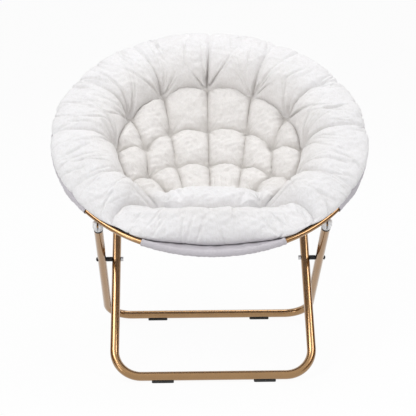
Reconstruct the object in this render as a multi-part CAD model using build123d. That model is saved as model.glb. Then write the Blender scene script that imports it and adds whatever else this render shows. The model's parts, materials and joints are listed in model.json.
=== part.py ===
"""Folding saucer chair: two crossed U-shaped leg frames, a round seat hoop hinged in two arcs,
a fabric sling sleeved on the hoop and a tufted dish cushion.

Millimetres, +Z up, the sitter faces -Y. The seat is drawn flat in its own frame (X across,
Y towards the back, Z out of the seat), centred on the hoop, and is then tilted into place.
Angles round the hoop are counted from the front of the seat, positive towards +X.
"""
import os
from math import asin, atan2, cos, degrees, hypot, pi, radians, sin, sqrt

from build123d import *

# ------------------------------------------------------------------ driving dimensions
# leg frames
leg_tube = 22.0
leg_wall = 1.2
front_half_width = 240.0
leg_gap = 15.0
base_depth = 430.0
pivot_height = 243.5
leg_bend = 66.0

# seat hoop
hoop_radius = 400.0
hoop_tube = 13.0
hoop_wall = 1.2
hoop_tilt = 32.0
hinge_angle = 60.0
hinge_gap = 0.3
hinge_pin = 4.0
hinge_plug_angle = 3.5
hinge_rivet_head = 0.4

# leg tops: a nylon fork on each leg carries a steel lug of the hoop
cap_overhang = 1.25
cap_below_pin = 10.0
cap_crown_trim = 0.35
collar_length = 8.0
collar_inset = 0.35
spigot_length = 25.0
slot_room = 2.5
lug_thickness = 4.0
lug_radius = 5.5
lug_root = 4.5
mount_pin = 6.0
rivet_head = 10.0
rivet_head_height = 2.2
front_lug_offset = 5.09
front_pin_drop = 20.0
rear_pin_drop = 32.0

# scissor pivots
bolt = 6.0
bolt_head = 13.0
bolt_head_height = 4.0
nut_across = 10.0
nut_height = 6.0
nut_relief = 0.5
spacer_diameter = 11.6

# rubber feet
foot_height = 3.5
foot_length = 53.0
foot_half_width = 8.5
front_foot_offset = 123.0
rear_foot_offset = 141.0

# fabric sling
sling_depth = 115.0
fabric = 1.5
sleeve_wall = 1.2
sleeve_play = 0.3
cutout_before_mount = 18.8
cutout_past_mount = 5.7
cutout_clear = 5.5
binding_radius = 1.5
boot_half_angle = 4.0
boot_clear_angle = 0.2
boot_room = 3.7

# cushion
cushion_contact_inset = 15.0
cushion_overhang = 3.0
cushion_rim_height = 18.0
cradle_start_angle = 15.0
cradle_middle_angle = 52.0
crest_inset = 65.0
crest_height = 50.0
roll_bulge = 14.0
roll_drop = 9.0
roll_inset = 38.0
roll_fall = 32.0
outer_tuft_count = 12
outer_tuft_radius = 240.0
outer_tuft_height = -46.0
outer_puff = 15.0
inner_tuft_radius = 145.0
inner_tuft_height = -74.0
inner_tufts = ((0.0, 109.0), (102.0, 95.0), (168.0, 29.0), (159.0, -79.0), (109.0, -136.0), (0.0, -150.0))
centre_crown_height = -64.0
centre_tuft_spread = 87.0
centre_tuft_along = -20.0
centre_tuft_height = -70.0
tuft_dimple = 13.0

# clearances
running = 0.05
loose = 0.1
slide = 0.4
soft_gap = 0.5
leg_sling_gap = 1.7


# ------------------------------------------------------------------ worked-out geometry
bar_height = foot_height + leg_tube / 2
rear_half_width = front_half_width + leg_tube + leg_gap
pivot_y = base_depth / 2
tilt = radians(hoop_tilt)
leg_rise = pivot_height - bar_height
leg_slope = atan2(leg_rise, pivot_y)

# unit directions in the side view, as (y, z)
front_leg_up = (cos(leg_slope), sin(leg_slope))
rear_leg_up = (-cos(leg_slope), sin(leg_slope))
seat_back = (cos(tilt), sin(tilt))

sleeve_inner = hoop_tube / 2 + sleeve_play
sleeve_outer = sleeve_inner + sleeve_wall
bowl_rim = hoop_radius - (sleeve_inner + sleeve_outer) / 2
bowl_radius = (bowl_rim**2 + sling_depth**2) / (2 * sling_depth)
bowl_centre = bowl_radius - sling_depth


def hoop_centre():
    """(y, z) of the hoop's centre. Seen from the side, the sling's bowl lies on the front legs with
    a gap, and the hoop passes the axes of the rear legs at the front lugs' offset."""
    run, rise = front_leg_up
    to_front = sqrt(hoop_radius**2 - rear_half_width**2)
    reach = bowl_radius + fabric / 2 + leg_sling_gap + leg_tube / 2
    ball_over_leg = sqrt(reach**2 - front_half_width**2)
    from_front_leg = bowl_centre * cos(leg_slope - tilt) - ball_over_leg
    from_rear_leg = front_lug_offset + to_front * (seat_back[0] * rise + seat_back[1] * run)
    twice_y = from_front_leg + from_rear_leg + base_depth * rise
    twice_z = from_rear_leg + base_depth * rise - from_front_leg
    return twice_y / (2 * rise), bar_height + twice_z / (2 * run)


hoop_centre_y, hoop_centre_z = hoop_centre()


def hoop_point(x, towards_back):
    """(y, z) of the hoop's centreline at the distance x from the middle plane."""
    along = towards_back * sqrt(hoop_radius**2 - x**2)
    return hoop_centre_y + along * seat_back[0], hoop_centre_z + along * seat_back[1]


def leg_reach(point, bar_y, up):
    """Distance from the floor bar, along the leg, to the foot of the normal from a (y, z) point."""
    return (point[0] - bar_y) * up[0] + (point[1] - bar_height) * up[1]


front_mount = hoop_point(rear_half_width, -1)
rear_mount = hoop_point(front_half_width, 1)
rear_leg_pin = leg_reach(front_mount, base_depth, rear_leg_up) - front_pin_drop
front_leg_pin = leg_reach(rear_mount, 0, front_leg_up) - rear_pin_drop
tube_below_pin = cap_below_pin + collar_length
cap_diameter = leg_tube + 2 * cap_overhang
cap_round = cap_diameter / 2 - cap_crown_trim
slot_bottom = lug_radius + slot_room
hinge_x = hoop_radius * sin(radians(hinge_angle))
hinge_y = -hoop_radius * cos(radians(hinge_angle))
mount_angle = degrees(asin(rear_half_width / hoop_radius))
front_sleeve_angle = mount_angle - cutout_before_mount
cutout_end_angle = mount_angle + cutout_past_mount
cutout_radius = hoop_radius - hoop_tube / 2 - cutout_clear
boot_radius = hoop_tube / 2 + boot_room
crest_radius = hoop_radius - crest_inset

seat_place = Location((0, hoop_centre_y, hoop_centre_z), (hoop_tilt, 0, 0))


def leg_point(bar_y, up, distance):
    """(y, z) of a point on a leg's axis, by its distance from the floor bar."""
    return bar_y + up[0] * distance, bar_height + up[1] * distance


def leg_frame_place(x, bar_y, up, distance):
    """Location on a leg whose local Z runs up the leg and whose local X is the row's X."""
    y, z = leg_point(bar_y, up, distance)
    return Plane(origin=(x, y, z), x_dir=(1, 0, 0), z_dir=(0, up[0], up[1])).location


def in_seat(y, z):
    """A (y, z) side-view point in the seat's own (Y, Z)."""
    dy, dz = y - hoop_centre_y, z - hoop_centre_z
    return dy * cos(tilt) + dz * sin(tilt), -dy * sin(tilt) + dz * cos(tilt)


def rod_x(radius, x_low, x_high, y, z):
    """Round bar along X."""
    length = x_high - x_low
    return Pos((x_low + x_high) / 2, y, z) * Rot(0, 90, 0) * Cylinder(radius, length)


# ------------------------------------------------------------------ leg frames
def leg_frame(half_width, bar_y, up, pin_distance):
    """U of bent tube: floor bar, two bends and two straight legs, drilled for the scissor bolt."""
    top = pin_distance - tube_below_pin
    plane = Plane(origin=(0, bar_y, bar_height), x_dir=(1, 0, 0), z_dir=(0, -up[1], up[0]))
    with BuildPart() as frame:
        with BuildLine(plane) as route:
            FilletPolyline(
                (-half_width, top),
                (-half_width, 0),
                (half_width, 0),
                (half_width, top),
                radius=leg_bend,
            )
        with BuildSketch(Plane(origin=route.line @ 0, z_dir=route.line % 0)):
            Circle(leg_tube / 2)
            Circle(leg_tube / 2 - leg_wall, mode=Mode.SUBTRACT)
        sweep()
    tube = frame.part
    for side in (-1, 1):
        x = side * half_width
        tube -= rod_x(bolt / 2 + loose, x - leg_tube, x + leg_tube, pivot_y, pivot_height)
    return tube


def leg_cap(place):
    """Nylon fork on a leg's top: a round body, a slot for the lug, and a spigot in the tube."""
    body = Pos(0, 0, (cap_round - cap_below_pin) / 2) * Cylinder(cap_diameter / 2, cap_round + cap_below_pin)
    rounding = Rot(0, 90, 0) * Cylinder(cap_round, 2 * cap_diameter)
    lower = Pos(0, 0, -cap_below_pin / 2) * Box(2 * cap_diameter, 2 * cap_diameter, cap_below_pin)
    body = body & (rounding + lower)
    slot_height = slot_bottom + cap_diameter
    slot = Pos(0, 0, slot_height / 2 - slot_bottom) * Box(
        lug_thickness + 2 * slide, 2 * cap_diameter, slot_height
    )
    spigot_span = collar_length + spigot_length
    spigot = Pos(0, 0, -cap_below_pin - spigot_span / 2) * Cylinder(
        leg_tube / 2 - leg_wall - loose, spigot_span
    )
    cap = body - slot + spigot
    cap -= rod_x(mount_pin / 2 + running, -cap_diameter, cap_diameter, 0, 0)
    recess = cap_diameter / 2 - rivet_head_height
    for side in (-1, 1):
        ends = sorted((side * recess, side * cap_diameter))
        cap -= rod_x(rivet_head / 2 + loose, ends[0], ends[1], 0, 0)
    return place * cap


def cap_collar(place):
    """Black bush between the nylon cap and the end of the leg tube."""
    outer = leg_tube / 2 + collar_inset
    ring = Cylinder(outer, collar_length - loose) - Cylinder(
        leg_tube / 2 - leg_wall, collar_length
    )
    return place * Pos(0, 0, -cap_below_pin - collar_length / 2) * ring


def through_rivet(place):
    """Rivet through both cheeks of a fork and the lug, with a flush head each side."""
    seat = cap_diameter / 2 - rivet_head_height + running
    rivet = rod_x(mount_pin / 2, -seat, seat, 0, 0)
    for side in (-1, 1):
        ends = sorted((side * seat, side * cap_diameter / 2))
        rivet += rod_x(rivet_head / 2, ends[0], ends[1], 0, 0)
    return place * rivet


def cheek_rivets(place):
    """A short rivet in each cheek of a fork, ending flush with the slot's wall."""
    seat = cap_diameter / 2 - rivet_head_height + running
    inner = lug_thickness / 2 + slide
    rivets = []
    for side in (-1, 1):
        shank = sorted((side * inner, side * seat))
        head = sorted((side * seat, side * cap_diameter / 2))
        rivets.append(
            rod_x(mount_pin / 2, shank[0], shank[1], 0, 0)
            + rod_x(rivet_head / 2, head[0], head[1], 0, 0)
        )
    return [place * rivet for rivet in rivets]


def scissor_bolt(side):
    """Bolt through both legs, with a domed head outside the rear leg."""
    head_x = rear_half_width + leg_tube / 2 + loose
    tip_x = front_half_width - leg_tube / 2 - nut_height / 2
    ends = sorted((side * tip_x, side * head_x))
    shank = rod_x(bolt / 2, ends[0], ends[1], pivot_y, pivot_height)
    dome_radius = (bolt_head**2 / 4 + bolt_head_height**2) / (2 * bolt_head_height)
    dome = Sphere(dome_radius) & Pos(0, 0, dome_radius - bolt_head_height / 2) * Box(
        bolt_head, bolt_head, bolt_head_height
    )
    dome = Pos(0, 0, bolt_head_height - dome_radius) * dome
    return shank + Pos(side * head_x, pivot_y, pivot_height) * Rot(0, side * 90, 0) * dome


def scissor_nut(side):
    """Hexagon nut on the bolt's end, inside the front leg."""
    outer_x = front_half_width - leg_tube / 2 - loose
    nut = extrude(RegularPolygon(nut_across / 2, 6, major_radius=False), nut_height)
    nut -= Cylinder(bolt / 2, nut_height / 2 - loose, align=(Align.CENTER, Align.CENTER, Align.MIN))
    nut = nut - Pos(0, 0, nut_height / 2 - loose) * Cylinder(
        bolt / 2 + running, nut_relief, align=(Align.CENTER, Align.CENTER, Align.MIN)
    )
    return Pos(side * outer_x, pivot_y, pivot_height) * Rot(0, -side * 90, 0) * nut


def pivot_spacer(side):
    """Black bush that keeps the two legs apart at the scissor bolt."""
    middle = side * (front_half_width + rear_half_width) / 2
    bush = Cylinder(spacer_diameter / 2, leg_gap - 2 * loose) - Cylinder(bolt / 2 + loose, leg_gap)
    return Pos(middle, pivot_y, pivot_height) * Rot(0, 90, 0) * bush


def foot_pad(x, bar_y):
    """Rubber pad under a floor bar, hollowed to the tube and flat on the floor."""
    height = bar_height
    block = Pos(x, bar_y, height / 2) * Box(foot_length, 2 * foot_half_width, height)
    corner_edges = block.edges().filter_by(Axis.Z)
    block = fillet(corner_edges, foot_half_width / 2)
    tube = rod_x(leg_tube / 2 + running, x - foot_length, x + foot_length, bar_y, bar_height)
    return block - tube


# ------------------------------------------------------------------ seat hoop
def hoop_sector(section, start, end):
    """Section in the XZ plane turned about the hoop's axis between two angles from the front."""
    turned = revolve(section, Axis.Z, revolution_arc=end - start)
    return Rot(0, 0, start - 90) * turned


def tube_section(radius, bore=0.0):
    """Round section centred on the hoop's centreline, with a bore where one is given."""
    section = Plane.XZ * Pos(hoop_radius, 0) * Circle(radius)
    if bore:
        section -= Plane.XZ * Pos(hoop_radius, 0) * Circle(bore)
    return section


def lug(x, point, pin):
    """Steel lug on the hoop: a plate square to X from the tube to the pin, drilled for the pin."""
    y0, z0 = in_seat(*point)
    y1, z1 = in_seat(*pin)
    length = hypot(y1 - y0, z1 - z0)
    plate = Pos(length, 0) * Circle(lug_radius) + Pos(length / 2, 0) * Rectangle(length, 2 * lug_root)
    plate = plate - Pos(length, 0) * Circle(mount_pin / 2 + running)
    solid = extrude(plate, lug_thickness / 2, both=True)
    place = Plane(origin=(x, y0, z0), x_dir=(0, y1 - y0, z1 - z0), z_dir=(1, 0, 0)).location
    return place * solid


def lug_slit(x, point, pin):
    """Space round a lug where it passes through the sling's sleeve."""
    y0, z0 = in_seat(*point)
    y1, z1 = in_seat(*pin)
    place = Plane(origin=(x, y0, z0), x_dir=(0, y1 - y0, z1 - z0), z_dir=(1, 0, 0)).location
    length = 2 * sleeve_outer
    wide = 2 * (lug_root + soft_gap)
    return place * Pos(length / 2, 0, 0) * Box(length, wide, lug_thickness + 2 * soft_gap)


def hoop_arc(start, end, keep_inside, lugs):
    """Arc of the hoop. Each end is plugged and cut square to the hinge pin, so that the two arcs
    turn side by side."""
    reach = degrees(hoop_tube / hoop_radius)
    first, last = start - reach, end + reach
    bore = hoop_tube / 2 - hoop_wall
    tube = hoop_sector(tube_section(hoop_tube / 2, bore), first, last)
    plug = hinge_plug_angle + reach
    tube += hoop_sector(tube_section(bore), first, first + plug)
    tube += hoop_sector(tube_section(bore), last - plug, last)
    for piece in lugs:
        tube += piece
    face = hinge_x - hinge_gap / 2 if keep_inside else hinge_x + hinge_gap / 2
    span = 4 * hoop_tube
    for side in (-1, 1):
        off = face + span / 2 if keep_inside else face - span / 2
        cut = Pos(side * off, hinge_y, 0) * Box(span, span, 2 * hoop_tube)
        tube -= cut
        tube -= rod_x(hinge_pin / 2 + running, side * hinge_x - span, side * hinge_x + span, hinge_y, 0)
    return tube


def hinge_rivet(side):
    """Rivet that joins the two arcs of the hoop, with a low head each end."""
    half = hoop_tube / 2 / sin(radians(hinge_angle)) + hinge_rivet_head
    return rod_x(hinge_pin / 2, side * hinge_x - half, side * hinge_x + half, hinge_y, 0)


# ------------------------------------------------------------------ sling
def bowl_height(radius, offset=0.0):
    """Height of the sling's bowl at a distance from its axis, offset out of its middle surface."""
    return bowl_centre - sqrt((bowl_radius - offset) ** 2 - radius**2)


def bowl_band(rim):
    """Half section of the fabric bowl out to a rim radius."""
    lower = -fabric / 2
    upper = fabric / 2
    with BuildSketch(Plane.XZ) as band:
        with BuildLine():
            ThreePointArc(
                (0, bowl_height(0, lower)),
                (rim / 2, bowl_height(rim / 2, lower)),
                (rim, bowl_height(rim, lower)),
            )
            Line((rim, bowl_height(rim, lower)), (rim, bowl_height(rim, upper)))
            ThreePointArc(
                (rim, bowl_height(rim, upper)),
                (rim / 2, bowl_height(rim / 2, upper)),
                (0, bowl_height(0, upper)),
            )
            Line((0, bowl_height(0, upper)), (0, bowl_height(0, lower)))
        make_face()
    return band.sketch


def sling(slits):
    """Fabric bowl with a sleeve round the hoop, cut out each side of the front where the legs
    mount, and loose over the two hinges."""
    bowl = revolve(bowl_band(bowl_rim), Axis.Z)
    edge = 2 * sleeve_outer
    trim_section = Plane.XZ * Pos(cutout_radius + edge / 2, 0) * Rectangle(edge, 2 * edge)
    for side in (-1, 1):
        ends = sorted((side * front_sleeve_angle, side * cutout_end_angle))
        bowl -= hoop_sector(trim_section, ends[0], ends[1])
    ring = tube_section(sleeve_outer, sleeve_inner)
    cloth = bowl + hoop_sector(ring, -front_sleeve_angle, front_sleeve_angle)
    cloth += hoop_sector(ring, cutout_end_angle, 360 - cutout_end_angle)
    for side in (-1, 1):
        middle = side * hinge_angle
        wall = degrees(sleeve_wall / hoop_radius)
        cloth += hoop_sector(
            tube_section(boot_radius + sleeve_wall), middle - boot_half_angle, middle + boot_half_angle
        )
        cloth -= hoop_sector(
            tube_section(boot_radius),
            middle - boot_half_angle + wall,
            middle + boot_half_angle - wall,
        )
        cloth -= hoop_sector(
            tube_section(sleeve_inner), middle - boot_half_angle, middle + boot_half_angle
        )
    for slit in slits:
        cloth -= slit
    return cloth


def edge_binding(side):
    """Black bead along the edge of the sling where it is cut out."""
    centre = cutout_radius + sleeve_play + binding_radius
    section = Plane.XZ * Pos(centre, bowl_height(cutout_radius)) * Circle(binding_radius)
    hem = degrees(2 * binding_radius / hoop_radius)
    ends = sorted((side * (front_sleeve_angle + hem), side * (cutout_end_angle - hem)))
    return hoop_sector(section, ends[0], ends[1])


# ------------------------------------------------------------------ cushion
def tuft_places():
    """(x, y, z) of every sewn tuft in the seat's frame: twelve round the inside of the outer roll,
    six round the middle and three in a row across the centre."""
    places = []
    for index in range(outer_tuft_count):
        turn = 2 * pi * index / outer_tuft_count
        places.append(
            (outer_tuft_radius * sin(turn), outer_tuft_radius * cos(turn), outer_tuft_height)
        )
    for across, along in inner_tufts:
        for x in sorted({across, -across}):
            places.append((x, along, inner_tuft_height))
    for x in (-centre_tuft_spread, 0, centre_tuft_spread):
        places.append((x, centre_tuft_along, centre_tuft_height))
    return places


def crown_height(radius):
    """Height of the domed middle of the cushion's top at a distance from its axis."""
    rise = centre_crown_height - inner_tuft_height
    ball = (inner_tuft_radius**2 + rise**2) / (2 * rise)
    return centre_crown_height - ball + sqrt(ball**2 - radius**2)


def cushion_section():
    """Closed half section of the cushion, from its axis to its rim: an underside that lies in the
    bowl, a rim that rests on the hoop's sleeve, a fat outer roll and two rings of puffs."""
    under = fabric / 2 + soft_gap
    contact = hoop_radius - cushion_contact_inset
    cradle = sleeve_outer + soft_gap
    start = radians(cradle_start_angle)
    middle = radians(cradle_middle_angle)
    cradle_start = (hoop_radius - cradle * cos(start), cradle * sin(start))
    cradle_middle = (hoop_radius - cradle * cos(middle), cradle * sin(middle))
    cradle_end = (hoop_radius, cradle)
    rim = (hoop_radius + cushion_overhang, cushion_rim_height)
    crest = (crest_radius, crest_height)
    outer = (outer_tuft_radius, outer_tuft_height)
    inner = (inner_tuft_radius, inner_tuft_height)
    crown = (0, centre_crown_height)
    with BuildSketch(Plane.XZ) as section:
        with BuildLine():
            ThreePointArc(
                (0, bowl_height(0, under)),
                (contact / 2, bowl_height(contact / 2, under)),
                (contact, bowl_height(contact, under)),
            )
            Line((contact, bowl_height(contact, under)), cradle_start)
            ThreePointArc(cradle_start, cradle_middle, cradle_end)
            Line(cradle_end, rim)
            ThreePointArc(rim, ((rim[0] + crest[0]) / 2 + roll_bulge, crest_height - roll_drop), crest)
            ThreePointArc(crest, (outer_tuft_radius + roll_inset, crest_height - roll_fall), outer)
            ThreePointArc(
                outer,
                ((outer[0] + inner[0]) / 2, (outer[1] + inner[1]) / 2 + outer_puff),
                inner,
            )
            ThreePointArc(inner, (inner[0] / 2, crown_height(inner[0] / 2)), crown)
            Line(crown, (0, bowl_height(0, under)))
        make_face()
    return section.sketch


def cushion():
    """Tufted dish: a revolved roll and rings of puffs, with a sewn dimple at every tuft."""
    body = revolve(cushion_section(), Axis.Z)
    for x, y, z in tuft_places():
        body -= Pos(x, y, z + tuft_dimple / 2) * Sphere(tuft_dimple)
    for side in (-1, 1):
        body -= hoop_sector(
            tube_section(boot_radius + sleeve_wall + soft_gap),
            side * hinge_angle - boot_half_angle - boot_clear_angle,
            side * hinge_angle + boot_half_angle + boot_clear_angle,
        )
    return body


# ------------------------------------------------------------------ assembly
def build_nodes():
    """Every node by name, each a list of solids, in the frame of the floor bar at the front."""
    sides = (("left", -1), ("right", 1))
    nodes = {}
    nodes["front_leg_frame"] = [leg_frame(front_half_width, 0, front_leg_up, front_leg_pin)]
    nodes["rear_leg_frame"] = [
        leg_frame(rear_half_width, base_depth, rear_leg_up, rear_leg_pin)
    ]
    front_pin = leg_point(base_depth, rear_leg_up, rear_leg_pin)
    rear_pin = leg_point(0, front_leg_up, front_leg_pin)
    front_lugs = []
    rear_lugs = []
    slits = []
    for name, side in sides:
        front_top = leg_frame_place(side * front_half_width, 0, front_leg_up, front_leg_pin)
        rear_top = leg_frame_place(side * rear_half_width, base_depth, rear_leg_up, rear_leg_pin)
        nodes[f"front_leg_cap_{name}"] = [leg_cap(front_top)]
        nodes[f"front_leg_collar_{name}"] = [cap_collar(front_top)]
        nodes[f"front_leg_rivets_{name}"] = cheek_rivets(front_top)
        nodes[f"rear_leg_cap_{name}"] = [leg_cap(rear_top)]
        nodes[f"rear_leg_collar_{name}"] = [cap_collar(rear_top)]
        nodes[f"rear_leg_rivet_{name}"] = [through_rivet(rear_top)]
        nodes[f"scissor_bolt_{name}"] = [scissor_bolt(side)]
        nodes[f"scissor_nut_{name}"] = [scissor_nut(side)]
        nodes[f"scissor_spacer_{name}"] = [pivot_spacer(side)]
        nodes[f"front_foot_{name}"] = [foot_pad(side * front_foot_offset, 0)]
        nodes[f"rear_foot_{name}"] = [foot_pad(side * rear_foot_offset, base_depth)]
        nodes[f"hoop_hinge_rivet_{name}"] = [seat_place * hinge_rivet(side)]
        nodes[f"sling_binding_{name}"] = [seat_place * edge_binding(side)]
        front_lugs.append(lug(side * rear_half_width, front_mount, front_pin))
        rear_lugs.append(lug(side * front_half_width, rear_mount, rear_pin))
        slits.append(lug_slit(side * front_half_width, rear_mount, rear_pin))
    nodes["hoop_front_arc"] = [
        seat_place * hoop_arc(-hinge_angle, hinge_angle, True, front_lugs)
    ]
    nodes["hoop_rear_arc"] = [
        seat_place * hoop_arc(hinge_angle, 360 - hinge_angle, False, rear_lugs)
    ]
    nodes["sling"] = [seat_place * sling(slits)]
    nodes["cushion"] = [seat_place * cushion()]
    return nodes


def main():
    nodes = build_nodes()
    whole = Compound([solid for group in nodes.values() for shape in group for solid in shape.solids()])
    box = whole.bounding_box()
    centring = Pos(0, -(box.min.Y + box.max.Y) / 2, 0)
    os.makedirs("parts", exist_ok=True)
    for name, group in nodes.items():
        solids = [centring * solid for shape in group for solid in shape.solids()]
        export_step(solids[0] if len(solids) == 1 else Compound(solids), f"parts/{name}.step")
    print(f"bar to middle {(box.min.Y + box.max.Y) / 2:.3f}")


main()
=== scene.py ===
"""Folding saucer chair: plush tufted dish cushion on a sleeved cloth sling, gold tube frame.

The seat is shaped in its own frame in millimetres, with x across, s towards the back in the
hoop's plane and w out of the seat, centred on the hoop. seat_to_row() tilts it into place.
Angles round the seat are counted from its front, positive towards +X.
"""
import json

import bmesh
import bpy
import numpy as np
from mathutils import Matrix, Vector


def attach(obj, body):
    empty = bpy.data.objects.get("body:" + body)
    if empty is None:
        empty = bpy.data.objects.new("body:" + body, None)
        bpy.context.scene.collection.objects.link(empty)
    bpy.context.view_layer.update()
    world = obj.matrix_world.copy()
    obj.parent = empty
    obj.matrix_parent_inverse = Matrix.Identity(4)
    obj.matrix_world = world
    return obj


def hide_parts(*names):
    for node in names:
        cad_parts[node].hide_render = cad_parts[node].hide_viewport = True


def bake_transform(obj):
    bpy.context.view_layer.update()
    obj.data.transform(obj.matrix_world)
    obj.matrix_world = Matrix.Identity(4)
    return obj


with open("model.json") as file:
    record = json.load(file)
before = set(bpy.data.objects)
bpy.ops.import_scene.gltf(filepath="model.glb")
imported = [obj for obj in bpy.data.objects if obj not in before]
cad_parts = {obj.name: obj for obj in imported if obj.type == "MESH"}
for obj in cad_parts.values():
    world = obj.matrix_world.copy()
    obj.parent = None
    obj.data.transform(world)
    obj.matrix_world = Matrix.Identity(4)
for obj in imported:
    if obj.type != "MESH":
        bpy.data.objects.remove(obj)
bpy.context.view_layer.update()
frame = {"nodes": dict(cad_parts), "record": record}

MM = 0.001
MERGE_DISTANCE = 1e-6
CRISP_EDGE = np.radians(32.0)

# ---------------------------------------------------------------- camera and room
SENSOR_WIDTH = 36.0
LENS_PIXELS = 1100.0
PICTURE_PIXELS = 416.0
CAMERA_PLACE = (-0.0879, -2.7972, 1.0734)
CAMERA_YAW = 0.0299
CAMERA_PITCH = 0.2549
CAMERA_REACH = 50.0
FLOOR_HALF = 14.0
FLOOR_GLOW = 0.95
WORLD_LIGHT = 0.47

# ---------------------------------------------------------------- hoop and sling
# millimetres, with the tilt in radians, and with the hinge's angle, the sleeves' and cut-outs' ends
# and the gaps along the hoop in degrees
HOOP_RADIUS = 400.0
HOOP_TILT = np.radians(32.0)
HOOP_CENTRE = (0.0, 2.184, 533.5)
HINGE_ANGLE = 60.0

SLING_DEPTH = 115.0
SLING_RIM = 392.6
CLOTH_THICK = 1.1
SLEEVE_OUTER = 8.0
SLEEVE_CLOTH = 0.9
FRONT_SLEEVE = 25.0
CUTOUT_END = 49.5
CUTOUT_RADIUS = 388.0
TAPE_RADIUS = 1.8
TAPE_GAP = 0.5
STITCH_RADIUS = 385.0
STITCH_PITCH = 5.2
STITCH_END_GAP = 0.6

# ---------------------------------------------------------------- cushion
# millimetres, places as (x, s), turns in radians, and the crest's place as a share of the roll
TUFT_RING = 240.0
TUFT_RING_HEIGHT = -46.0
MIDDLE_HEIGHT = -90.0
INNER_TUFTS = ((0, 109), (102, 95), (168, 29), (159, -79), (109, -136))
MIDDLE_TUFTS = ((0, -16), (87, -24))
FRONT_ROW_END = (68, -140)
FRONT_ROW_MIDDLE = (0, -150)
PUFF_CREASE = ((86, -188), (66, -238))
SEAM_SINK = 4.0
TUFT_RISE = 14.0
TUFT_REACH = 26.0
CREASE_RISE = 12.0
PILLOW_RISE = 22.0
PUFF_RISE = 26.0

ROLL_WIDTH = 270.0
CREST_AT = 0.55
CREST_RADIUS = 332.0
CREST_HEIGHT = 41.0
FRONT_CREST_LINE = 292.0
FRONT_CREST_MOST = 345.0
PLEATS_A_TUFT = 11
SHORT_PLEATS = 110

RIM_SIDE = 405.0
RIM_HEIGHT = 6.6
RIM_FRONT_DRAW_IN = 44.0
RIM_FRONT_DROP = 26.0
RIM_FRONT_TURN = 0.40
RIM_WIDE_DRAW_IN = 5.0
RIM_WIDE_TURN = 1.05
RIM_STEPS = ((1.5, -0.9), (4.0, -1.6), (7.0, -1.4), (10.5, 0.8), (13.5, 6.5))
UNDER_STEPS = (22.0, 45.0, 90.0, 150.0, 220.0, 300.0)
PAD_GAP = 1.6

# a full turn, rounded: the reach of the chance phases, and what a weave's closeness is divided by
ANY_PHASE = 6.3
WAVE_TURN = 6.283


def seat_to_row(x, s, w):
    """Seat millimetres to row metres: turned about X by the hoop's tilt, then moved to its centre."""
    y = HOOP_CENTRE[1] + s * np.cos(HOOP_TILT) - w * np.sin(HOOP_TILT)
    z = HOOP_CENTRE[2] + s * np.sin(HOOP_TILT) + w * np.cos(HOOP_TILT)
    return np.stack([x + 0 * y, y, z], -1) * MM


def bowl(r):
    """Height of the sling's bowl at a radius: a cap of a ball through the rim and the lowest point."""
    ball = (SLING_RIM**2 + SLING_DEPTH**2) / (2 * SLING_DEPTH)
    return ball - SLING_DEPTH - np.sqrt(ball**2 - np.minimum(r, SLING_RIM) ** 2)


def into_scene(name, data):
    """Makes an object of a mesh, lamp or lens and puts it in the scene."""
    obj = bpy.data.objects.new(name, data)
    bpy.context.scene.collection.objects.link(obj)
    return obj


# ---------------------------------------------------------------- camera, light and floor
def aimed(place, direction):
    """Matrix of a camera or lamp that stands at a place and looks along a direction."""
    return Matrix.Translation(place) @ direction.to_track_quat("-Z", "Y").to_matrix().to_4x4()


def camera():
    """The photograph's view: about 2.8 m in front of the chair and 1.07 m up."""
    level = np.cos(CAMERA_PITCH)
    look = Vector((np.sin(CAMERA_YAW) * level, np.cos(CAMERA_YAW) * level, -np.sin(CAMERA_PITCH)))
    lens = bpy.data.cameras.new("camera")
    lens.sensor_width = SENSOR_WIDTH
    lens.lens = SENSOR_WIDTH * LENS_PIXELS / PICTURE_PIXELS
    lens.clip_end = CAMERA_REACH
    obj = into_scene("camera", lens)
    obj.matrix_world = aimed(CAMERA_PLACE, look)
    bpy.context.scene.camera = obj


def area_light(name, place, aim, size, power):
    """A soft box of a size and power, at one place and aimed at another."""
    lamp = bpy.data.lights.new(name, "AREA")
    lamp.shape = "RECTANGLE"
    lamp.size, lamp.size_y = size
    lamp.energy = power
    into_scene(name, lamp).matrix_world = aimed(place, Vector(aim) - Vector(place))


def background_rays(nodes, links):
    """1 for the rays that see the background: straight, mirrored or through glass."""
    path = nodes.new("ShaderNodeLightPath")
    total = path.outputs["Is Camera Ray"]
    for ray in ("Is Glossy Ray", "Is Transmission Ray"):
        either = nodes.new("ShaderNodeMath")
        either.operation = "MAXIMUM"
        links.new(total, either.inputs[0])
        links.new(path.outputs[ray], either.inputs[1])
        total = either.outputs[0]
    return total


def card(name, corners, colour, glow=0.0):
    """A card out of the picture that only reflections see: a dark one gives the tubes their dark
    edges, and a bright one their pale streaks."""
    mesh = bpy.data.meshes.new(name)
    mesh.from_pydata(corners, [], [(0, 1, 2, 3)])
    obj = into_scene(name, mesh)
    obj.visible_camera = False
    obj.visible_diffuse = False
    obj.visible_shadow = False
    mat = bpy.data.materials.new(name)
    mat.use_nodes = True
    surface = mat.node_tree.nodes["Principled BSDF"]
    surface.inputs["Base Color"].default_value = colour
    surface.inputs["Emission Color"].default_value = (1, 1, 1, 1)
    surface.inputs["Emission Strength"].default_value = glow
    mesh.materials.append(mat)


def cards():
    """An upright brown card each side of the chair, and above each a glowing one that leans in."""
    brown, pale, glow = (0.24, 0.13, 0.06, 1), (0.8, 0.8, 0.8, 1), 5.5
    foot, top, back = 0.02, 1.6, 0.7
    roof_low, roof_high, roof_near, roof_back = 2.0, 2.6, -1.7, 0.8
    for word, side, near in (("left", -1, -1.3), ("right", 1, -2.4)):
        x, outer, inner = side * 1.9, side * 2.2, side * 1.65
        wall = [(x, near, foot), (x, back, foot), (x, back, top), (x, near, top)]
        card(f"brown_card_{word}", wall, brown)
        roof = [(outer, roof_near, roof_low), (outer, roof_back, roof_low)]
        roof += [(inner, roof_back, roof_high), (inner, roof_near, roof_high)]
        card(f"pale_card_{word}", roof, pale, glow)


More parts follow.
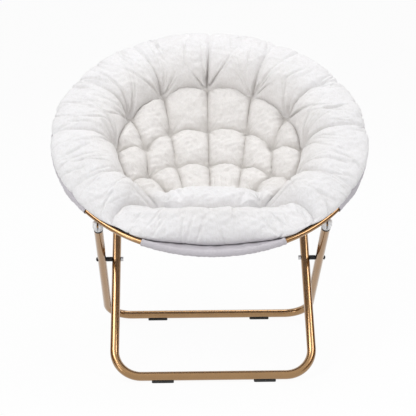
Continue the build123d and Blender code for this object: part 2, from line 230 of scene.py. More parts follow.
def studio():
    """Three soft boxes, a strip lamp low on the left and a white world, dimmer on the object."""
    area_light("key", (-1.5, -1.5, 2.9), (0, 0, 0.5), (1.3, 1.3), 32.5)
    area_light("fill", (2.1, -1.7, 2.1), (0, 0, 0.5), (0.8, 1.8), 18.5)
    area_light("top", (0.5, 1.1, 3.0), (0, 0.1, 0.4), (1.4, 1.4), 26.5)
    area_light("strip", (-2.3, -2.3, 1.1), (0, 0, 0.3), (0.3, 1.9), 9)
    world = bpy.data.worlds.new("studio")
    world.use_nodes = True
    bpy.context.scene.world = world
    nodes, links = world.node_tree.nodes, world.node_tree.links
    back = nodes["Background"]
    back.inputs["Color"].default_value = (1, 1, 1, 1)
    level = nodes.new("ShaderNodeMapRange")
    level.inputs["To Min"].default_value = WORLD_LIGHT
    level.inputs["To Max"].default_value = 1.0
    links.new(background_rays(nodes, links), level.inputs["Value"])
    links.new(level.outputs["Result"], back.inputs["Strength"])
    bpy.context.scene.view_settings.view_transform = "Standard"


def floor():
    """A plain white floor, out to where it can't be told from the world, that keeps the shadow."""
    mesh = bpy.data.meshes.new("floor")
    far = FLOOR_HALF
    corners = [(-far, -far, 0), (far, -far, 0), (far, far, 0), (-far, far, 0)]
    mesh.from_pydata(corners, [], [(0, 1, 2, 3)])
    obj = into_scene("floor", mesh)
    mat = bpy.data.materials.new("white_floor")
    mat.use_nodes = True
    nodes, links = mat.node_tree.nodes, mat.node_tree.links
    nodes.clear()
    out = nodes.new("ShaderNodeOutputMaterial")
    mix = nodes.new("ShaderNodeMixShader")
    matt = nodes.new("ShaderNodeBsdfDiffuse")
    matt.inputs["Color"].default_value = (0.88, 0.88, 0.88, 1)
    glow = nodes.new("ShaderNodeEmission")
    keep = nodes.new("ShaderNodeMath")
    keep.operation = "MULTIPLY"
    keep.inputs[1].default_value = FLOOR_GLOW
    links.new(background_rays(nodes, links), keep.inputs[0])
    links.new(keep.outputs[0], mix.inputs["Fac"])
    links.new(matt.outputs[0], mix.inputs[1])
    links.new(glow.outputs[0], mix.inputs[2])
    links.new(mix.outputs[0], out.inputs["Surface"])
    mesh.materials.append(mat)


# ---------------------------------------------------------------- materials
class Value:
    """A shader socket with + - * as Math nodes, so that shader maths reads as an expression."""

    def __init__(self, tree, socket):
        self.tree, self.socket = tree, socket

    def join(self, operation, other, turned=False):
        """Math node of this value and another, the other one first where turned says so."""
        a, b = (other, self) if turned else (self, other)
        return self.tree.node("ShaderNodeMath", {"operation": operation}, {0: a, 1: b}).first()

    def __add__(self, other):
        return self.join("ADD", other)

    def __radd__(self, other):
        return self.join("ADD", other, True)

    def __sub__(self, other):
        return self.join("SUBTRACT", other)

    def __rsub__(self, other):
        return self.join("SUBTRACT", other, True)

    def __mul__(self, other):
        return self.join("MULTIPLY", other)

    def __rmul__(self, other):
        return self.join("MULTIPLY", other, True)

    def clamp(self):
        """The value kept between 0 and 1."""
        return self.tree.node("ShaderNodeClamp", {}, {"Value": self}).first()


class Made:
    """A node that has been made: its outputs by name, and its first output."""

    def __init__(self, tree, node):
        self.tree, self.made = tree, node

    def __getitem__(self, name):
        return Value(self.tree, self.made.outputs[name])

    def first(self):
        return Value(self.tree, next(o for o in self.made.outputs if o.enabled))


class Finish:
    """One material: its node tree, its Principled shader, and a method that adds any other node."""

    def __init__(self, name, **plain):
        self.material = bpy.data.materials.new(name)
        self.material.use_nodes = True
        self.nodes = self.material.node_tree.nodes
        self.links = self.material.node_tree.links
        self.shader = self.nodes["Principled BSDF"]
        for socket, value in plain.items():
            self.shader.inputs[socket.replace("_", " ")].default_value = value

    def node(self, kind, settings, inputs):
        """Any node: its type, its settings, which are set first, and the values or links of its
        sockets."""
        made = self.nodes.new(kind)
        for key, value in settings.items():
            setattr(made, key, value)
        for key, value in inputs.items():
            if isinstance(value, Value):
                self.links.new(value.socket, made.inputs[key])
            else:
                made.inputs[key].default_value = value
        return Made(self, made)

    def place(self, scale=(1, 1, 1)):
        """Object coordinates, scaled along each axis."""
        coords = self.node("ShaderNodeTexCoord", {}, {})["Object"]
        return self.node("ShaderNodeMapping", {}, {"Vector": coords, "Scale": scale})["Vector"]

    def noise(self, where, scale, detail=3.0, rough=0.55):
        """Fractal noise from 0 to 1; the scale is the number of its cells a metre."""
        inputs = {"Vector": where, "Scale": scale, "Detail": detail, "Roughness": rough}
        return self.node("ShaderNodeTexNoise", {}, inputs)["Fac"]

    def blend(self, amount, low, high):
        """Colour from low at 0 to high at 1."""
        settings = {"data_type": "RGBA"}
        return self.node("ShaderNodeMix", settings, {0: amount, 6: low, 7: high})["Result"]

    def set(self, **linked):
        """Links values to the Principled shader's sockets."""
        for socket, value in linked.items():
            self.links.new(value.socket, self.shader.inputs[socket.replace("_", " ")])

    def bump(self, height, distance, strength=1.0, under=None):
        """Bump of a height value, on top of another bump where one is given."""
        inputs = {"Height": height, "Distance": distance, "Strength": strength}
        if under is not None:
            inputs["Normal"] = under
        return self.node("ShaderNodeBump", {}, inputs)["Normal"]


def gold_lacquer():
    """Copper-gold lacquer on steel tube: orange peel, faint cloudiness and a clear coat."""
    look = Finish("gold_lacquer", Metallic=1.0, Coat_Weight=1.0, Coat_Roughness=0.06)
    where = look.place()
    cloud = look.noise(where, 26.0, 2.0)
    speck = look.noise(where, 900.0, 2.0)
    deep, pale = (0.285, 0.155, 0.056, 1), (0.355, 0.202, 0.082, 1)
    look.set(Base_Color=look.blend(cloud, deep, pale))
    look.set(Roughness=(cloud * 0.05 + speck * 0.02 + 0.18).clamp())
    look.set(Normal=look.bump(look.noise(where, 90.0, 1.0), 0.00004, 0.1))
    return look.material


def moulded(name, low, high, rough, grain=1600.0):
    """Moulded plastic or rubber: fine spark-eroded grain and a slight change of tone."""
    look = Finish(name)
    where = look.place()
    tone = look.noise(where, 60.0, 2.0)
    look.set(Base_Color=look.blend(tone, low, high))
    look.set(Roughness=(tone * 0.12 + rough).clamp())
    look.set(Normal=look.bump(look.noise(where, grain, 2.0), 0.00008, 0.5))
    return look.material


def plated_steel(name, low, high, rough):
    """Plated or blackened steel: fine turning marks and dull patches."""
    look = Finish(name, Metallic=1.0)
    patch = look.noise(look.place(), 180.0, 3.0)
    marks = look.noise(look.place((9.0, 1.0, 1.0)), 500.0, 2.0)
    look.set(Base_Color=look.blend(patch, low, high))
    look.set(Roughness=(patch * 0.15 + marks * 0.1 + rough).clamp())
    look.set(Normal=look.bump(marks, 0.00005, 0.4))
    return look.material


def woven(name, low, high, closeness=900.0, rough=0.78, sheen=0.15):
    """Plain weave: the product of two crossed waves, one for each set of threads, with thicker
    places in the yarn that shift the tone. The closeness is about twice the threads a metre."""
    look = Finish(name, Sheen_Weight=sheen, Sheen_Roughness=0.5)
    where = look.place()
    thread = {"Vector": where, "Scale": closeness / WAVE_TURN}
    warp = look.node("ShaderNodeTexWave", {"bands_direction": "X"}, thread)
    weft = look.node("ShaderNodeTexWave", {"bands_direction": "Z"}, thread)
    weave = warp["Fac"] * weft["Fac"]
    slub = look.noise(look.place((1, 6, 6)), 90.0, 3.0)
    cloud = look.noise(where, 14.0, 3.0)
    look.set(Base_Color=look.blend((slub * 0.5 + cloud * 0.5).clamp(), low, high))
    look.set(Roughness=(slub * 0.15 + rough).clamp())
    look.set(Normal=look.bump(weave + slub * 0.6, 0.00025, 0.55))
    return look.material


def plush():
    """Short white plush: clumps of pile that lie in streaks, darker between the clumps, with painted
    shade in the creases and a painted darker, warmer shade in the middle than on the roll, and a soft
    sheen."""
    look = Finish("plush_pile", Sheen_Weight=0.35, Sheen_Roughness=0.45)
    where = look.place()
    bend = look.noise(where, 22.0, 3.0)
    streak = look.noise(look.place((1.0, 0.5, 0.35)), 480.0, 5.0, 0.7)
    clump = look.noise(where, 120.0, 4.0, 0.6)
    # the crease value is painted shade, from the mesh: in the creases and pleats and behind the front
    # pillow
    crease = look.node("ShaderNodeAttribute", {"attribute_name": "crease"}, {})["Fac"]
    patch = look.noise(where, 9.0, 2.0)
    # the inside value is painted shade, from the mesh: darker, warmer pile in the dish's middle
    inside = look.node("ShaderNodeAttribute", {"attribute_name": "inside"}, {})["Fac"]
    ruffle = ((clump * 0.35 + streak * 0.65 - 0.5) * 2.6 + 0.95 - patch * 0.5).clamp()
    roll = look.blend(ruffle, (0.77, 0.755, 0.745, 1), (0.93, 0.922, 0.94, 1))
    # the middle's pile colours: the roll's, darker and warmer as painted shade
    middle = look.blend(ruffle, (0.73, 0.70, 0.67, 1), (0.89, 0.865, 0.85, 1))
    pile_with_hollow_shade = look.blend(inside, roll, middle)
    # painted shade: the creases are darkened towards a warm grey
    tone = (1 - crease * 0.9).clamp()
    look.set(Base_Color=look.blend(tone, (0.60, 0.57, 0.54, 1), pile_with_hollow_shade))
    look.set(Roughness=(bend * 0.1 + 0.86).clamp())
    lumps = look.bump(clump, 0.0028, 0.8)
    look.set(Normal=look.bump(streak, 0.0022, 0.9, lumps))
    return look.material


MATERIALS = {
    "gold_tube": gold_lacquer(),
    "white_nylon": moulded("white_nylon", (0.80, 0.80, 0.815, 1), (0.88, 0.88, 0.89, 1), 0.32),
    "black_nylon": moulded("black_nylon", (0.006, 0.006, 0.007, 1), (0.014, 0.014, 0.015, 1), 0.6),
    "black_rubber": moulded(
        "black_rubber", (0.010, 0.010, 0.010, 1), (0.022, 0.022, 0.022, 1), 0.62, grain=900.0
    ),
    "black_tape": woven(
        "black_tape",
        (0.012, 0.012, 0.014, 1),
        (0.03, 0.03, 0.034, 1),
        closeness=2600.0,
        rough=0.8,
        sheen=0.0,
    ),
    "dark_bolt": plated_steel("blackened_steel", (0.03, 0.03, 0.032, 1), (0.07, 0.068, 0.065, 1), 0.35),
    "steel": plated_steel("zinc_steel", (0.50, 0.50, 0.51, 1), (0.66, 0.66, 0.67, 1), 0.24),
    "sling_fabric": woven("sling_cloth", (0.51, 0.485, 0.52, 1), (0.585, 0.56, 0.595, 1)),
    "pile_fabric": plush(),
}


# ---------------------------------------------------------------- mesh making
def stand_up(name, mesh, slot):
    """Puts a finished mesh in the scene, in its slot's material."""
    mesh.materials.append(MATERIALS[slot])
    mesh.update()
    obj = into_scene(name, mesh)
    return obj


def ring_quads(index):
    """Quads between the rings of an array of vertex numbers, whose columns close on themselves."""
    beside = np.roll(index, -1, 1)
    return np.stack([index[:-1], beside[:-1], beside[1:], index[1:]], -1).reshape(-1, 4)


def grid_piece(name, points, slot):
    """A smooth quad surface over an array of points, rows by columns, whose columns close."""
    rows, columns = points.shape[:2]
    mesh = bpy.data.meshes.new(name)
    quads = ring_quads(np.arange(rows * columns).reshape(rows, columns))
    mesh.from_pydata(points.reshape(-1, 3), [], quads.tolist())
    mesh.polygons.foreach_set("use_smooth", np.ones(len(mesh.polygons), bool))
    return stand_up(name, mesh, slot)


def weld(obj):
    """Closes the poles of a piece and turns its faces outwards."""
    solid = bmesh.new()
    solid.from_mesh(obj.data)
    bmesh.ops.remove_doubles(solid, verts=solid.verts, dist=MERGE_DISTANCE)
    bmesh.ops.recalc_face_normals(solid, faces=solid.faces)
    solid.to_mesh(obj.data)
    solid.free()


def cloth_wall(obj, thickness, offset):
    """Gives a piece its cloth's thickness: offset 0 puts the wall about the surface, -1 inside it."""
    wall = obj.modifiers.new("cloth", "SOLIDIFY")
    wall.thickness = thickness * MM
    wall.offset = offset


def wrapped(angle):
    """The same angle, brought between half a turn back and half a turn on."""
    return (angle + np.pi) % (2 * np.pi) - np.pi


def ripples(x, s, w, wavelength, seed):
    """Smooth unevenness of about -1 to 1: fourteen sine waves in chance directions and phases, each
    0.7 to 1.4 times as close as the wavelength says, added and brought to size."""
    waves, peak = 14, 1.4
    chance = np.random.default_rng(seed)
    total = 0
    for _ in range(waves):
        way = chance.normal(size=3)
        way *= 2 * np.pi / wavelength * chance.uniform(0.7, 1.4) / np.linalg.norm(way)
        total = total + np.sin(way[0] * x + way[1] * s + way[2] * w + chance.uniform(0, ANY_PHASE))
    return total / waves**0.5 / peak


# ---------------------------------------------------------------- tubes and fittings
def smooth_copy(name, body, slot):
    """Stands a copy in for a node: its triangles are merged, round faces shade smoothly and edges
    over the crisp angle stay crisp."""
    mesh = bpy.data.meshes.new(f"{name}_finished")
    solid = bmesh.new()
    solid.from_mesh(frame["nodes"][name].data)
    bmesh.ops.remove_doubles(solid, verts=solid.verts, dist=MERGE_DISTANCE)
    solid.to_mesh(mesh)
    solid.free()
    mesh.polygons.foreach_set("use_smooth", np.ones(len(mesh.polygons), bool))
    mesh.set_sharp_from_angle(angle=CRISP_EDGE)
    piece = stand_up(f"{name}_finished", mesh, slot)
    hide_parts(name)
    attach(piece, body)


def dress_frame():
    """Gives every node its slot's material, and every hard one its smooth copy: tubes, caps,
    bushes, bolts, nuts, spacers, rivets and feet."""
    soft = {"sling", "cushion", "sling_binding_left", "sling_binding_right"}
    slots = {part["node"]: part["material_slot"] for part in frame["record"]["subparts"]}
    for body, names in frame["record"]["behaviour"]["bodies"].items():
        for name in names:
            materials = frame["nodes"][name].data.materials
            materials.clear()
            materials.append(MATERIALS[slots[name]])
            if name not in soft:
                smooth_copy(name, body, slots[name])


# ---------------------------------------------------------------- cushion: the middle
def mirrored(places):
    """Places on both sides of the seat's middle line, and once where they lie on it."""
    return [(side * x, s) for x, s in places for side in ((1, -1) if x else (1,))]


def ring_places(count):
    """Places of the outer ring, every 30 degrees from the back towards +X."""
    turns = np.radians(30.0 * np.arange(count))
    return [(TUFT_RING * np.sin(t), TUFT_RING * np.cos(t)) for t in turns]


def outer_tufts():
    """The tufts of the outer ring: eleven of its twelve places, without the one at the front."""
    places = ring_places(12)
    return places[:6] + places[7:]


def all_tufts():
    """Every tuft: outer ring, inner polygon and middle row."""
    return outer_tufts() + mirrored(INNER_TUFTS) + mirrored(MIDDLE_TUFTS)


def seam_lines():
    """Sewn lines of the middle, as pairs of (x, s) ends: the polygon of the inner tufts, the spokes
    out to the ring and the ladder of lines through the middle row."""
    ring, inner, middle = ring_places(7), INNER_TUFTS, MIDDLE_TUFTS
    half = [(inner[k], inner[k + 1]) for k in range(4)]
    half += [(ring[1], inner[1]), (ring[2], inner[2]), (ring[3], inner[2])]
    half += [(ring[4], inner[3]), (ring[5], inner[4])]
    half += [(inner[1], middle[1]), (middle[1], FRONT_ROW_END)]
    half += [(middle[0], middle[1]), (middle[1], inner[3]), (inner[4], FRONT_ROW_MIDDLE)]
    lines = [((side * a[0], a[1]), (side * b[0], b[1])) for a, b in half for side in (1, -1)]
    return lines + [(ring[0], inner[0]), (inner[0], middle[0]), (middle[0], FRONT_ROW_MIDDLE)]


def distance_to_line(x, s, a, b):
    """Distance in the seat's plane from points to the straight stretch from a to b."""
    dx, ds = b[0] - a[0], b[1] - a[1]
    along = np.clip(((x - a[0]) * dx + (s - a[1]) * ds) / (dx * dx + ds * ds), 0, 1)
    return np.hypot(x - a[0] - along * dx, s - a[1] - along * ds)


def seam_level(x, s):
    """Height of the sewn lines: a dish that rises with the square of the radius, and a little more
    away from the tufts, by a product of 1 - exp(-(d / reach)^2) over the distances d to them."""
    dish = MIDDLE_HEIGHT + (TUFT_RING_HEIGHT - MIDDLE_HEIGHT) * (np.hypot(x, s) / TUFT_RING) ** 2
    away = 1.0
    for px, ps in all_tufts():
        away = away * (1 - np.exp(-(((x - px) ** 2 + (s - ps) ** 2) / TUFT_REACH**2)))
    return dish - SEAM_SINK + TUFT_RISE * away


def front_puff(x, s):
    """1 on the fat front pillow and 0 off it: exp(-(d / depth)^4) * exp(-(x / width)^6), where d is
    the distance from its middle line, a parabola that bows to the front at the pillow's ends."""
    middle, bow, bow_at, depth, width = 194, 24, 150.0, 44.0, 168.0
    across = (s + middle + bow * (x / bow_at) ** 2) / depth
    return np.exp(-(across**4)) * np.exp(-((x / width) ** 6))


def tuft_folds(x, s):
    """Folds that star out from every tuft: four cosines of the direction with chance phases and
    strengths, which rise from the tuft within 7 mm and fade over 24 mm."""
    height, rise, fade = 2.3, 7.0, 24.0
    chance = np.random.default_rng(7)
    total = 0
    for px, ps in all_tufts():
        away = np.hypot(x - px, s - ps)
        swing = np.arctan2(s - ps, x - px)
        star = 0
        for n in (5, 8, 11, 15):
            star = star + np.cos(n * swing + chance.uniform(0, ANY_PHASE)) * chance.uniform(0.4, 1.0)
        total = total + height * star * np.exp(-away / fade) * (1 - np.exp(-away / rise))
    return total


def puff_gathers(x, s):
    """Depth of the front pillow's creases: one at each end towards the ring of tufts, and twelve
    short gathers behind it. Each is a Gaussian of the distance to its line."""
    depth, width = 7, 7.0
    total = 0
    for side in (1, -1):
        ends = [(side * end[0], end[1]) for end in PUFF_CREASE]
        total = total + depth * np.exp(-((distance_to_line(x, s, *ends) / width) ** 2))
    chance = np.random.default_rng(31)
    for place in np.linspace(-88, 88, 12):
        top = (place + chance.uniform(-6, 6), chance.uniform(-104, -84))
        gap = distance_to_line(x, s, top, (0.92 * top[0], -148.0))
        total = total + chance.uniform(1.0, 2.6) * np.exp(-((gap / chance.uniform(2.0, 3.2)) ** 2))
    return total


def middle_surface(r, turn):
    """Top of the cushion inside the outer ring. The pillows are a product of 1 - exp(-d / soft)
    over the distances d to every sewn line and to the ring, so that each line is a sharp crease
    and each pillow is round. The front pillow is fatter, and hides the lines under it. Folds,
    gathers and large and small ripples (height, wavelength and seed) are added. The last value is
    painted shade: how dark the creases are painted, and a painted shadow behind the front pillow."""
    line_half, crease_soft, ring_soft, pillow_soft = 0.3, 7.0, 9.0, 24.0
    puff_cover, puff_pillow, puff_half, puff_sink, valley_soft = 0.9, 0.75, 160.0, 2, 12.0
    large, small = (2.8, 52.0, 3), (1.7, 19.0, 5)
    # the last four: where, how soft, how wide and how dark the painted shadow behind the front pillow
    # is
    behind_puff_shade_line, behind_puff_shade_soft, behind_puff_shade_half, behind_puff_shade = 138, 15.0, 105.0, 0.45
    x, s = r * np.sin(turn), -r * np.cos(turn)
    to_ring = np.abs(TUFT_RING - r)
    crease = 1 - np.exp(-to_ring / ring_soft)
    pillow = 1 - np.exp(-to_ring / pillow_soft)
    for a, b in seam_lines():
        gap = distance_to_line(x, s, a, b) + line_half
        crease = crease * (1 - np.exp(-gap / crease_soft))
        pillow = pillow * (1 - np.exp(-gap / pillow_soft))
    puff = front_puff(x, s)
    crease = crease + (1 - crease) * puff_cover * puff
    pillow = pillow + (puff_pillow - pillow) * puff_cover * puff
    level = seam_level(x, s) + CREASE_RISE * crease + PILLOW_RISE * pillow
    dome = np.clip(1 - (x / puff_half) ** 2, 0, 1)
    valley = 0.4 + 0.6 * (1 - np.exp(-to_ring / valley_soft))
    level = level + puff * valley * (PUFF_RISE * dome - puff_sink)
    level = level + tuft_folds(x, s)
    uneven = [height * ripples(x, s, level, *wave) for height, *wave in (large, small)]
    level = level + uneven[0] + uneven[1] - puff_gathers(x, s)
    # painted shade: dark at the sewn lines, and a painted shadow band behind the front pillow
    behind = np.exp(-(((s + behind_puff_shade_line) / behind_puff_shade_soft) ** 2)) * np.exp(-((x / behind_puff_shade_half) ** 4))
    return x, s, level, np.maximum(1 - crease, behind_puff_shade * behind)


# ---------------------------------------------------------------- cushion: the outer roll
def rim_radius(turn):
    """The rim stands over the hoop at the sides and back. It is drawn in by exp(-(turn / a)^4) at
    the front, where it lies inside the hoop, and a little over a wider stretch."""
    near = RIM_FRONT_DRAW_IN * np.exp(-((turn / RIM_FRONT_TURN) ** 4))
    return RIM_SIDE - near - RIM_WIDE_DRAW_IN * np.exp(-((turn / RIM_WIDE_TURN) ** 4))


def rim_height(turn):
    """The rim rests on the hoop's sleeve, and drops by exp(-(turn / a)^4) at the front, where it
    lies on the bowl inside the hoop."""
    return RIM_HEIGHT - RIM_FRONT_DROP * np.exp(-((turn / RIM_FRONT_TURN) ** 4))


def bezier(ends, t):
    """Cubic curve through the first and last of four points, drawn towards the other two."""
    a, b, c, d = ends
    return a * (1 - t) ** 3 + 3 * b * t * (1 - t) ** 2 + 3 * c * t**2 * (1 - t) + d * t**3


def roll_section(t, turn):
    """Radius and height of the smooth roll: a cubic curve from the ring of tufts (t = 0) up to the
    crest, and another over it to the rim (t = 1). At the front the crest is lower, and follows a
    straight line across the seat instead of a circle."""
    front_turn, low_turn, front_low, side_low = 0.72, 0.58, 11, 15
    rim = rim_radius(turn)
    rim_w = rim_height(turn)
    front = np.exp(-((turn / front_turn) ** 10))
    straight = np.minimum(FRONT_CREST_LINE / np.cos(np.minimum(np.abs(turn), 1)), FRONT_CREST_MOST)
    crest = CREST_RADIUS + (straight - CREST_RADIUS) * front
    lower = front_low + side_low * np.minimum((turn / low_turn) ** 2, 1.2)
    crest_w = CREST_HEIGHT - lower * front
    foot = TUFT_RING + 0 * turn
    foot_w = seam_level(TUFT_RING * np.sin(turn), -TUFT_RING * np.cos(turn))
    up = np.clip(t / CREST_AT, 0, 1)
    over = np.clip((t - CREST_AT) / (1 - CREST_AT), 0, 1)
    # of each curve's four values, the middle two draw it out of its start and into its end
    rise = bezier((foot, TUFT_RING + 4 + 18 * front, crest - 52 + 30 * front, crest), up)
    fall = bezier((crest, crest + 42 - 8 * front, rim + 13, rim), over)
    rise_w = bezier((foot_w, foot_w + 52 - 30 * front, crest_w + 1, crest_w), up)
    fall_w = bezier((crest_w, crest_w - 4, rim_w + 23, rim_w), over)
    return np.where(t < CREST_AT, rise, fall), np.where(t < CREST_AT, rise_w, fall_w)


def tuft_creases(t, turn, r):
    """Depth and painted shade of the creases from the tufts across the roll. Each is a narrow and a
    broad exponential of the distance across it, and shallower towards the rim. The two beside the front
    pillow are deeper, and bow away from it. Pleats of chance direction, length, width and depth fan
    out from each tuft, with painted shade along them."""
    chance = np.random.default_rng(11)
    along = ROLL_WIDTH * t
    deep = 0 * t
    dark = 0 * t
    for px, ps in outer_tufts():
        sway = chance.uniform(-0.05, 0.05)
        beside_puff = abs(px) < 125 and ps < 0
        if beside_puff:
            bow = np.sign(px) * (0.07 * t + 0.14 * np.sin(np.pi * t))
            depth = 32 * (1 - 0.5 * t)
        else:
            bow = sway * t
            depth = 21 * (1 - 0.72 * t)
        across = r * (wrapped(turn - np.arctan2(px, -ps)) - bow)
        narrow = np.exp(-np.abs(across) / (4 + 3 * t))
        broad = np.exp(-np.abs(across) / (16 + 14 * t))
        deep = deep + depth * (0.55 * narrow + 0.45 * broad) * np.clip(t * 6 + 0.25, 0, 1)
        # painted shade along each crease, fading towards the rim
        dark = np.maximum(dark, np.exp(-np.abs(across) / 4.0) * np.clip(1.05 - 1.1 * t, 0, 1))
        away = np.hypot(across, along)
        swing = np.arctan2(across, along + 6.0)
        start = 1 - np.exp(-away / 14.0)
        for _ in range(PLEATS_A_TUFT):
            way = chance.uniform(-0.8, 0.8)
            length = chance.uniform(45, 170)
            width = chance.uniform(1.9, 4.2)
            pleat = chance.uniform(2.5, 7.5)
            line = np.exp(-(((swing - way) * away / width) ** 2)) * np.exp(-((away / length) ** 2))
            deep = deep + pleat * line * start
            # painted shade along each pleat
            dark = np.maximum(dark, 0.09 * pleat * line * start)
    return deep, dark


def short_pleats(t, turn, r):
    """Depth and painted shade of the short leaning pleats strewn over the roll's crest and outer side,
    each a Gaussian across its line and along it."""
    chance = np.random.default_rng(23)
    deep = 0 * t
    dark = 0 * t
    for _ in range(SHORT_PLEATS):
        centre = chance.uniform(-np.pi, np.pi)
        middle = chance.uniform(0.42, 0.95)
        beside = wrapped(turn - centre - chance.uniform(-0.25, 0.25) * (t - middle))
        width = chance.uniform(2.0, 4.5)
        line = np.exp(-((r * beside / width) ** 2))
        line = line * np.exp(-(((t - middle) / chance.uniform(0.1, 0.24)) ** 2))
        deep = deep + chance.uniform(2.0, 5.0) * line
        # painted shade along each pleat
        dark = np.maximum(dark, 0.35 * line)
    return deep, dark


def roll_surface(t, turn):
    """The fat outer roll, from the ring of tufts (t = 0) to the rim (t = 1): its smooth section,
    moved along the section's normal, out by a swell and ripples and in by creases and pleats. The
    last value is the painted shade of the creases and pleats."""
    r, w = roll_section(t, turn)
    dr, dw = np.gradient(r, axis=0), np.gradient(w, axis=0)
    size = np.hypot(dr, dw) + 1e-9
    creases, crease_painted_shade = tuft_creases(t, turn, r)
    pleats, pleat_painted_shade = short_pleats(t, turn, r)
    x, s = r * np.sin(turn), -r * np.cos(turn)
    swell = np.sin(np.pi * np.clip(t, 0, 1)) ** 0.7
    uneven = 4 + 2.6 * ripples(x, s, w, 60.0, 17) + 1.1 * ripples(x, s, w, 20.0, 19)
    out = uneven * swell - creases - pleats
    r = r - dw / size * out
    w = w + dr / size * out
    return r * np.sin(turn), -r * np.cos(turn), w, np.maximum(crease_painted_shade, pleat_painted_shade)


# ---------------------------------------------------------------- cushion: one skin
def underside(edge, turn):
    """Rings from the roll's edge inwards: they turn the rim under by the stated steps in and down,
    then lie a small gap above the sling's bowl, in to its lowest point."""
    rings = [(edge - inward, rim_height(turn) - drop) for inward, drop in RIM_STEPS]
    for inward in UNDER_STEPS:
        radius = np.maximum(edge - inward, 1.0)
        rings.append((radius, bowl(radius) + PAD_GAP))
    rings.append((0 * edge, bowl(0 * edge) + PAD_GAP))
    radius, height = (np.stack([ring[k] for ring in rings]) for k in range(2))
    return radius * np.sin(turn), -radius * np.cos(turn), height, 0 * radius


def point_values(obj, name, values):
    """Puts one number a point on a piece, for its material."""
    layer = obj.data.attributes.new(name, "FLOAT", "POINT")
    layer.data.foreach_set("value", values.reshape(-1).astype(np.float32))


def cushion():
    """One closed skin: the middle, the roll, the turned-under rim and the underside on the sling.
    The crease values paint shade into the pile's creases, and the inside values, which fall from 1 to 0
    between radii of 220 and 330 mm and on the front pillow, paint the middle darker and warmer as
    shade."""
    columns, middle_rows, roll_rows = 1200, 150, 190
    hollow_shade_edge, hollow_shade_fade, puff_line, puff_depth, puff_width = 330, 110, 205, 50.0, 165.0
    turn = np.linspace(-np.pi, np.pi, columns, endpoint=False)[None, :]
    r = np.linspace(0, TUFT_RING, middle_rows)[:, None]
    middle = middle_surface(r + 0 * turn, turn + 0 * r)
    t = np.linspace(0, 1, roll_rows)[1:, None]
    roll = roll_surface(t + 0 * turn, turn + 0 * t)
    under = underside(np.hypot(roll[0][-1], roll[1][-1]), turn[0])
    x, s, w, dark = (np.concatenate([middle[k], roll[k], under[k]]) for k in range(4))
    obj = grid_piece("cushion_pad", seat_to_row(x, s, w), "pile_fabric")
    # crease: painted shade in the creases, the pleats and behind the front pillow
    point_values(obj, "crease", np.clip(dark, 0, 1) ** 1.6)
    # inside: painted shade that darkens and warms the middle's hollow, kept off the front pillow, whose
    # top faces the light
    puff = np.exp(-(((s + puff_line) / puff_depth) ** 4)) * np.exp(-((x / puff_width) ** 6))
    inside = np.clip((hollow_shade_edge - np.hypot(x, s)) / hollow_shade_fade, 0, 1) * (1 - puff)
    point_values(obj, "inside", inside)
    weld(obj)
    return obj


# ---------------------------------------------------------------- sling
def sling():
    """The cloth bowl: a cap of a ball, less faint pull lines, which are a clipped sum of two uneven
    sine waves of the angle times a Gaussian of the share of the radius. It stops at the hoop's
    sleeve, and short of it where it is cut out for the mounts."""
    pull_depth, pull_at, pull_reach, rim_edge = 0.9, 0.93, 0.07, 0.995
    turn = np.linspace(-np.pi, np.pi, 480, endpoint=False)[None, :]
    share = np.linspace(0, 1, 90)[:, None]
    off_front = np.abs(np.degrees(turn))
    cut = (off_front > FRONT_SLEEVE) & (off_front < CUTOUT_END)
    r = share * np.where(cut, CUTOUT_RADIUS, SLING_RIM)
    pull = np.sin(turn * 44 + 1.3 * np.sin(turn * 5)) + 0.6 * np.sin(turn * 71 + 2 * np.sin(turn * 3))
    near_rim = np.exp(-(((share - pull_at) / pull_reach) ** 2)) * (share < rim_edge)
    w = bowl(r) - pull_depth * np.clip(pull, -1, 1) * near_rim
    points = seat_to_row(r * np.sin(turn), -r * np.cos(turn), w)
    obj = grid_piece("sling_bowl", points, "sling_fabric")
    weld(obj)
    cloth_wall(obj, CLOTH_THICK, 0.0)
    return obj


def sleeve(name, start, end, columns):
    """Tube of cloth round the hoop from one angle to the other: a circle carried along it, whose
    radius is the sleeve's, and sine waves of both angles for its puckers, a Gaussian flare at each
    end and a flat-topped swelling over each of the hoop's hinges."""
    pucker_rise, hem_rise, hem_reach, boot_rise, boot_reach = 0.28, 0.7, 4.0, 1.6, 3.6
    turn = np.radians(np.linspace(start, end, columns))[:, None]
    around = np.linspace(0, 2 * np.pi, 36, endpoint=False)[None, :]
    from_end = np.minimum(turn - turn[0], turn[-1] - turn) * HOOP_RADIUS
    from_hinge = np.abs(np.degrees(wrapped(turn))) - HINGE_ANGLE
    boot = np.exp(-((from_hinge / boot_reach) ** 4))
    hem = np.exp(-((from_end / hem_reach) ** 2))
    pucker = np.sin(turn * 190 + 2 * np.sin(turn * 23) + around * 2) + np.sin(turn * 77 - around)
    thick = SLEEVE_OUTER + pucker_rise * pucker + hem_rise * hem + boot_rise * boot
    r = HOOP_RADIUS - thick * np.cos(around)
    w = thick * np.sin(around)
    obj = grid_piece(name, seat_to_row(r * np.sin(turn), -r * np.cos(turn), w), "sling_fabric")
    cloth_wall(obj, SLEEVE_CLOTH, -1.0)
    return obj


def edge_tape(name, start, end):
    """Black tape along a cut-out's edge: a circle carried along it, whose radius falls to nothing
    at each end with the square root of the distance, which rounds and closes it."""
    out, lift = 1.7, 0.1
    turn = np.radians(np.linspace(start, end, 120))[:, None]
    around = np.linspace(0, 2 * np.pi, 14, endpoint=False)[None, :]
    from_end = np.minimum(turn - turn[0], turn[-1] - turn) * HOOP_RADIUS
    thick = TAPE_RADIUS * np.sqrt(np.clip(from_end / TAPE_RADIUS, 0, 1))
    r = CUTOUT_RADIUS + out + thick * np.cos(around)
    w = bowl(CUTOUT_RADIUS) + lift + thick * np.sin(around)
    obj = grid_piece(name, seat_to_row(r * np.sin(turn), -r * np.cos(turn), w), "black_tape")
    weld(obj)
    return obj


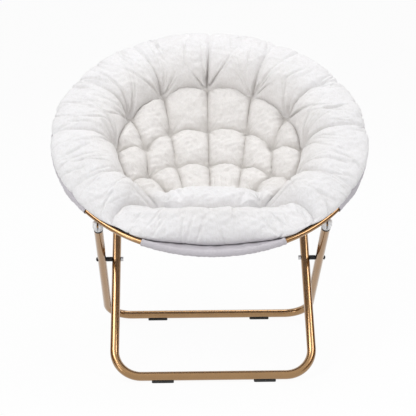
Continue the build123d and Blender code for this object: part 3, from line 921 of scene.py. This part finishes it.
def stitches(name, start, end, side):
    """A row of lock stitches along the sleeve's seam: short leaning threads a stitch's pitch apart,
    each of four rings of five points, thin at its ends, and two end faces."""
    rings, points_a_ring, half_length, lean, height = 4, 5, 1.75, 0.1, 0.72
    count = int(np.radians(end - start) * STITCH_RADIUS / STITCH_PITCH)
    middles = np.radians(start) + (np.arange(count) + 0.5) * STITCH_PITCH / STITCH_RADIUS
    along = np.array([-1.0, -0.55, 0.55, 1.0])[None, :, None] * half_length
    thick = np.array([0.12, 0.36, 0.36, 0.12])[None, :, None]
    around = (np.arange(points_a_ring) * 2 * np.pi / points_a_ring)[None, None, :]
    turn = middles[:, None, None] + along / STITCH_RADIUS
    r = STITCH_RADIUS + thick * np.cos(around) + lean * along
    w = bowl(STITCH_RADIUS) + side * height + thick * np.sin(around)
    points = seat_to_row(r * np.sin(turn), -r * np.cos(turn), w)
    block = np.arange(rings * points_a_ring).reshape(rings, points_a_ring)
    ends = np.stack([block[0, ::-1], block[-1]])
    first = block.size * np.arange(count)[:, None, None]
    quads = (ring_quads(block)[None] + first).reshape(-1, 4)
    caps = (ends[None] + first).reshape(-1, points_a_ring)
    mesh = bpy.data.meshes.new(name)
    mesh.from_pydata(points.reshape(-1, 3), [], quads.tolist() + caps.tolist())
    obj = stand_up(name, mesh, "sling_fabric")
    weld(obj)
    return obj


def stitch_rows(place, start, end):
    """The seam of one sleeve: a row of stitches under the cloth, and one on it."""
    start, end = start + STITCH_END_GAP, end - STITCH_END_GAP
    sides = (("under", -1), ("upper", 1))
    return [stitches(f"sling_stitches_{place}_{word}", start, end, side) for word, side in sides]


# ---------------------------------------------------------------- the whole chair
def fold_line():
    """Two points either side of the hoop's hinge, on a line across the cloth."""
    half, height = 45, -40.0
    middle = -HOOP_RADIUS * np.cos(np.radians(HINGE_ANGLE))
    return [seat_to_row(0.0, middle + reach, height).tolist() for reach in (-half, half)]


def plain(corners):
    """A box's corners as plain lists of numbers."""
    return [list(map(float, corner)) for corner in corners]


camera()
studio()
floor()
cards()
dress_frame()

pad = cushion()
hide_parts("cushion")

cloth = sling()
front_sleeve = sleeve("sling_sleeve_front", -FRONT_SLEEVE, FRONT_SLEEVE, 260)
rear_sleeve = sleeve("sling_sleeve_rear", CUTOUT_END, 360 - CUTOUT_END, 1100)
front_rows = stitch_rows("front", -FRONT_SLEEVE, FRONT_SLEEVE)
rear_rows = stitch_rows("rear", CUTOUT_END, 360 - CUTOUT_END)
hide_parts("sling")
[front_sleeve, rear_sleeve] + front_rows + rear_rows

begin, finish_at = fold_line()
for piece in [pad, cloth, rear_sleeve] + rear_rows:
    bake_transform(piece)
for piece in [front_sleeve] + front_rows:
    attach(piece, "seat_front")

for name, side in (("left", -1), ("right", 1)):
    ends = sorted((side * (FRONT_SLEEVE + TAPE_GAP), side * (CUTOUT_END - TAPE_GAP)))
    tape = edge_tape(f"edge_tape_{name}", *ends)
    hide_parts(f"sling_binding_{name}")
    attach(tape, "seat_front")
